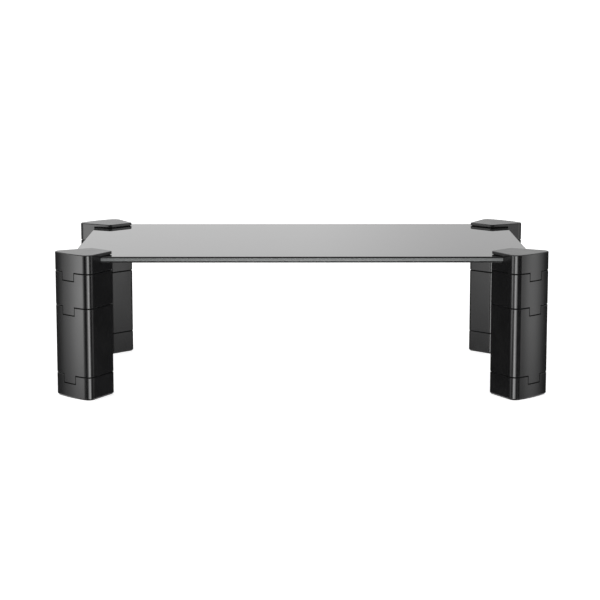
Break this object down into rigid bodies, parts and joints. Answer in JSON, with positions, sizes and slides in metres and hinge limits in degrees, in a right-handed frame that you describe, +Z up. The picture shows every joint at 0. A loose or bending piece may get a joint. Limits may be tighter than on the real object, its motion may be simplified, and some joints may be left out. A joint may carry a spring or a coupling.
{
  "type": "glass monitor riser",
  "caption": "Low black glass shelf on corner legs of plug-together plastic blocks that set its height. Stands on a desk and raises a monitor above the space for a keyboard.",
  "frame": {"origin": "on the desk, under the middle of the shelf", "axes": "+X along the shelf's width, +Y towards its back, +Z up"},
  "size_m": [0.5146, 0.3196, 0.152],
  "materials": {
    "shelf_glass": "polished tempered glass with ground edges, opaque from the film below",
    "shelf_film": "matt black film",
    "leg_plastic": "satin black ABS moulding",
    "grip_rubber": "matt black rubber sheet",
    "foot_rubber": "matt black rubber"
  },
  "bodies": {
    "feet": {"base_front_left": "leg_plastic", "foot_pad_front_left": "foot_rubber", "base_front_right": "leg_plastic", "foot_pad_front_right": "foot_rubber", "base_back_left": "leg_plastic", "foot_pad_back_left": "foot_rubber", "base_back_right": "leg_plastic", "foot_pad_back_right": "foot_rubber"},
    "tall_front_left": {"tall_block_front_left": "leg_plastic"},
    "short_front_left": {"short_block_front_left": "leg_plastic"},
    "tall_front_right": {"tall_block_front_right": "leg_plastic"},
    "short_front_right": {"short_block_front_right": "leg_plastic"},
    "tall_back_left": {"tall_block_back_left": "leg_plastic"},
    "short_back_left": {"short_block_back_left": "leg_plastic"},
    "tall_back_right": {"tall_block_back_right": "leg_plastic"},
    "short_back_right": {"short_block_back_right": "leg_plastic"},
    "shelf": {"shelf_glass": "shelf_glass", "shelf_backing": "shelf_film", "cap_front_left": "leg_plastic", "upper_grip_pad_front_left": "grip_rubber", "lower_grip_pad_front_left": "grip_rubber", "cap_front_right": "leg_plastic", "upper_grip_pad_front_right": "grip_rubber", "lower_grip_pad_front_right": "grip_rubber", "cap_back_left": "leg_plastic", "upper_grip_pad_back_left": "grip_rubber", "lower_grip_pad_back_left": "grip_rubber", "cap_back_right": "leg_plastic", "upper_grip_pad_back_right": "grip_rubber", "lower_grip_pad_back_right": "grip_rubber"}
  },
  "joints": [
    {"name": "tall_lift_front_left", "type": "slide", "parent": "feet", "child": "tall_front_left", "axis": [0, 0, 1], "range_m": [0, 0.03]},
    {"name": "short_lift_front_left", "type": "slide", "parent": "tall_front_left", "child": "short_front_left", "axis": [0, 0, 1], "range_m": [0, 0.03]},
    {"name": "tall_lift_front_right", "type": "slide", "parent": "feet", "child": "tall_front_right", "axis": [0, 0, 1], "range_m": [0, 0.03]},
    {"name": "short_lift_front_right", "type": "slide", "parent": "tall_front_right", "child": "short_front_right", "axis": [0, 0, 1], "range_m": [0, 0.03]},
    {"name": "tall_lift_back_left", "type": "slide", "parent": "feet", "child": "tall_back_left", "axis": [0, 0, 1], "range_m": [0, 0.03]},
    {"name": "short_lift_back_left", "type": "slide", "parent": "tall_back_left", "child": "short_back_left", "axis": [0, 0, 1], "range_m": [0, 0.03]},
    {"name": "tall_lift_back_right", "type": "slide", "parent": "feet", "child": "tall_back_right", "axis": [0, 0, 1], "range_m": [0, 0.03]},
    {"name": "short_lift_back_right", "type": "slide", "parent": "tall_back_right", "child": "short_back_right", "axis": [0, 0, 1], "range_m": [0, 0.03]},
    {"name": "shelf_lift", "type": "slide", "parent": "short_front_left", "child": "shelf", "axis": [0, 0, 1], "range_m": [0, 0.03]}
  ],
  "couplings": [
    {"joint": "tall_lift_front_right", "follows": "tall_lift_front_left", "ratio": 1},
    {"joint": "short_lift_front_right", "follows": "short_lift_front_left", "ratio": 1},
    {"joint": "tall_lift_back_left", "follows": "tall_lift_front_left", "ratio": 1},
    {"joint": "short_lift_back_left", "follows": "short_lift_front_left", "ratio": 1},
    {"joint": "tall_lift_back_right", "follows": "tall_lift_front_left", "ratio": 1},
    {"joint": "short_lift_back_right", "follows": "short_lift_front_left", "ratio": 1}
  ]
}
